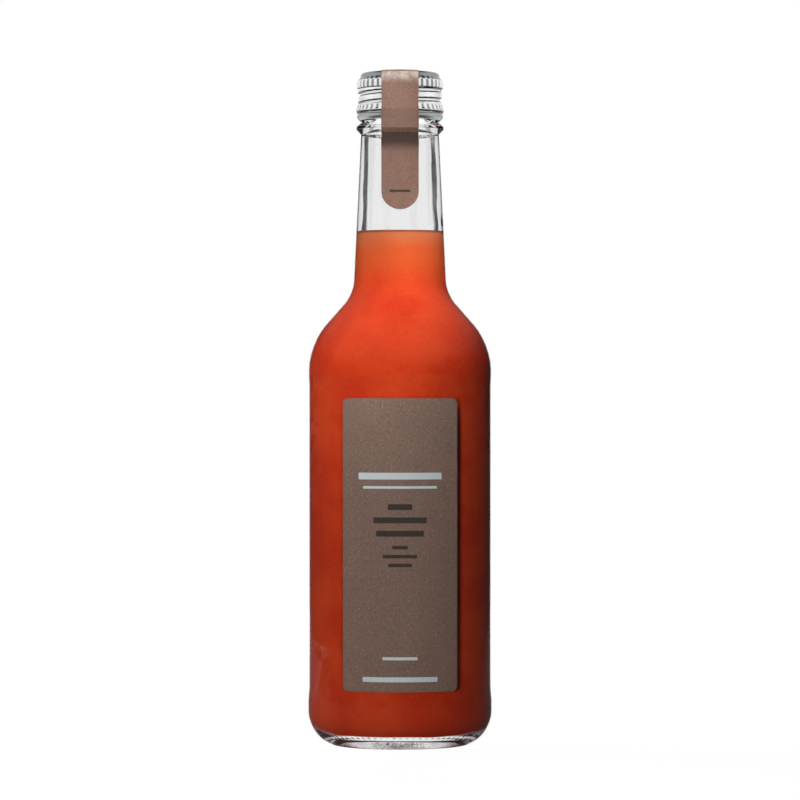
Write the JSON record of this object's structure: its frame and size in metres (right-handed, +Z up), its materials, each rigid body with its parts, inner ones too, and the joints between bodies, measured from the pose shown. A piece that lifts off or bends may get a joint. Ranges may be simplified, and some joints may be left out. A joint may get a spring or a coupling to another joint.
{
  "type": "bottle of tomato juice",
  "caption": "Clear glass bottle of tomato juice with a tall neck, an aluminium screw cap, a brown front label and a paper seal strip over the cap.",
  "frame": {"origin": "on the bottle's axis, on the surface it stands on", "axes": "+Z up along the bottle's axis, -Y out of the middle of the label, +X to the right of someone who faces the label"},
  "size_m": [0.0608, 0.0608, 0.2222],
  "materials": {
    "bottle_glass": "clear",
    "juice": "wet",
    "cap_metal": "bright",
    "label_paper": "metallic fleck",
    "strip_paper": "metallic fleck"
  },
  "bodies": {
    "root": {"glass_bottle": "bottle_glass", "tomato_juice": "juice", "screw_cap": "cap_metal", "front_label": "label_paper", "seal_strip": "strip_paper"}
  },
  "joints": []
}
